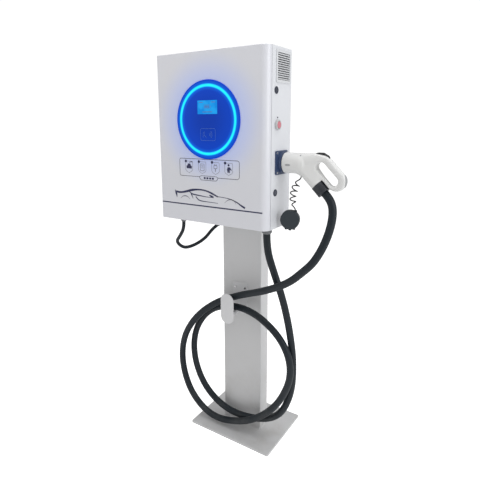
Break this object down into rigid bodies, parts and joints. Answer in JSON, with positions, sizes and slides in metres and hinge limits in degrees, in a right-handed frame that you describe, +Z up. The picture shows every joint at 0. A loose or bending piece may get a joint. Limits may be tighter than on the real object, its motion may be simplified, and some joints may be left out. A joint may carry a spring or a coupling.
{
  "type": "electric vehicle charging post",
  "caption": "Wall-box charger carried on a floor post: hinged front door with a lit round display, side-parked connector on a long cable looped over a hook.",
  "frame": {"origin": "middle of the base plate's underside, on the floor", "axes": "+Z up the post, +X towards the side that carries the connector, +Y to the back of the post; the door faces -Y"},
  "size_m": [0.8758, 0.4533, 1.81],
  "materials": {
    "post_paint": "light grey powder coat",
    "box_paint": "white powder coat, fine texture",
    "cap_plastic": "light grey moulded plastic",
    "black_rubber": "black rubber",
    "zinc_steel": "zinc-plated steel",
    "stainless": "bright stainless steel",
    "lens_blue": "glossy blue-backed lens",
    "light_guide": "lit cyan light guide",
    "lcd_glass": "backlit display",
    "circuit_board": "green solder mask",
    "vent_plastic": "light grey moulded plastic",
    "filter_mat": "grey fibre mat",
    "fan_plastic": "black moulded plastic",
    "navy_plastic": "dark navy moulded plastic",
    "estop_grey": "grey moulded plastic",
    "estop_red": "red plastic",
    "lamp": "dark translucent plastic",
    "chassis_zinc": "galvanised sheet",
    "module_case": "extruded aluminium",
    "device_grey": "light grey device plastic",
    "toggle_black": "black plastic",
    "terminal_beige": "beige plastic",
    "gland_plastic": "dark grey nylon",
    "gun_white": "white satin moulded plastic",
    "gun_grey": "grey moulded plastic",
    "gun_black": "black moulded plastic",
    "contact_metal": "silver-plated contacts",
    "cable_jacket": "black-blue cable jacket",
    "cap_rubber": "slate rubber"
  },
  "bodies": {
    "post": {"base_plate": "post_paint", "post_tube": "post_paint", "access_cover": "post_paint", "cable_hook": "post_paint", "rear_housing": "box_paint", "post_top_cap": "cap_plastic", "entry_grommet": "black_rubber", "door_gasket": "black_rubber", "mounting_rails": "zinc_steel", "housing_bolts": "zinc_steel", "hinge_body_leaves": "zinc_steel", "chassis_standoffs": "zinc_steel", "din_rail": "zinc_steel", "post_screws": "stainless", "hinge_pins": "stainless", "holster_screws": "stainless", "controller_board": "circuit_board", "louvre_panels": "vent_plastic", "dust_filter": "filter_mat", "fan_frame": "fan_plastic", "lock_barrels": "navy_plastic", "connector_holster": "navy_plastic", "estop_body": "estop_grey", "side_lamp": "lamp", "chassis_plate": "chassis_zinc", "power_modules": "module_case", "breaker_body": "device_grey", "energy_meter": "device_grey", "surge_arrester": "device_grey", "contactors": "device_grey", "terminal_block": "terminal_beige", "cable_gland": "gland_plastic", "supply_gland": "gland_plastic", "charging_cable_box": "cable_jacket", "supply_cable": "cable_jacket"},
    "door": {"front_door": "box_paint", "hinge_door_leaves": "zinc_steel", "door_catches": "zinc_steel", "display_lens": "lens_blue", "led_ring": "light_guide", "lcd_module": "lcd_glass", "rfid_reader": "circuit_board", "led_board": "circuit_board"},
    "connector": {"gun_shell_near": "gun_white", "gun_shell_far": "gun_white", "gun_tip_insert": "gun_grey", "gun_nose": "gun_black", "contact_sleeves": "contact_metal", "latch_pin": "stainless", "cable_cuff": "gun_black", "charging_cable_gun": "cable_jacket", "cap_tether": "cable_jacket", "dust_cap": "cap_rubber"},
    "lock_upper": {"lock_cam_upper": "stainless"},
    "lock_lower": {"lock_cam_lower": "stainless"},
    "fan": {"fan_rotor": "fan_plastic"},
    "estop_slider": {"estop_stem": "stainless"},
    "estop_knob": {"estop_head": "estop_red"},
    "breaker_lever": {"breaker_toggle": "toggle_black"},
    "latch": {"latch_lever": "gun_black"}
  },
  "joints": [
    {"name": "door_hinge", "type": "hinge", "parent": "post", "child": "door", "pos_m": [-0.276, -0.2484, 1.46], "axis": [0, 0, 1], "range_deg": [-110, 0]},
    {"name": "lock_upper_turn", "type": "hinge", "parent": "post", "child": "lock_upper", "pos_m": [0.27, -0.213, 1.65], "axis": [1, 0, 0], "range_deg": [0, 90]},
    {"name": "lock_lower_turn", "type": "hinge", "parent": "post", "child": "lock_lower", "pos_m": [0.27, -0.213, 1.257], "axis": [1, 0, 0], "range_deg": [0, 90]},
    {"name": "fan_spin", "type": "hinge", "parent": "post", "child": "fan", "pos_m": [0.24, -0.157, 1.739], "axis": [1, 0, 0], "continuous": true},
    {"name": "estop_press", "type": "slide", "parent": "post", "child": "estop_slider", "axis": [-1, 0, 0], "range_m": [0, 0.004], "stiffness_N_per_m": 1500},
    {"name": "estop_twist", "type": "hinge", "parent": "estop_slider", "child": "estop_knob", "pos_m": [0.27, -0.2035, 1.521], "axis": [1, 0, 0], "range_deg": [0, 45], "stiffness_Nm_per_rad": 0.05},
    {"name": "breaker_throw", "type": "hinge", "parent": "post", "child": "breaker_lever", "pos_m": [-0.179, -0.1706, 1.4], "axis": [1, 0, 0], "range_deg": [-48, 0]},
    {"name": "connector_unplug", "type": "slide", "parent": "post", "child": "connector", "axis": [1, 0, 0], "range_m": [0, 0.06]},
    {"name": "latch_press", "type": "hinge", "parent": "connector", "child": "latch", "pos_m": [0.3668, -0.167, 1.406], "axis": [0, 1, 0], "range_deg": [0, 3], "stiffness_Nm_per_rad": 4}
  ]
}
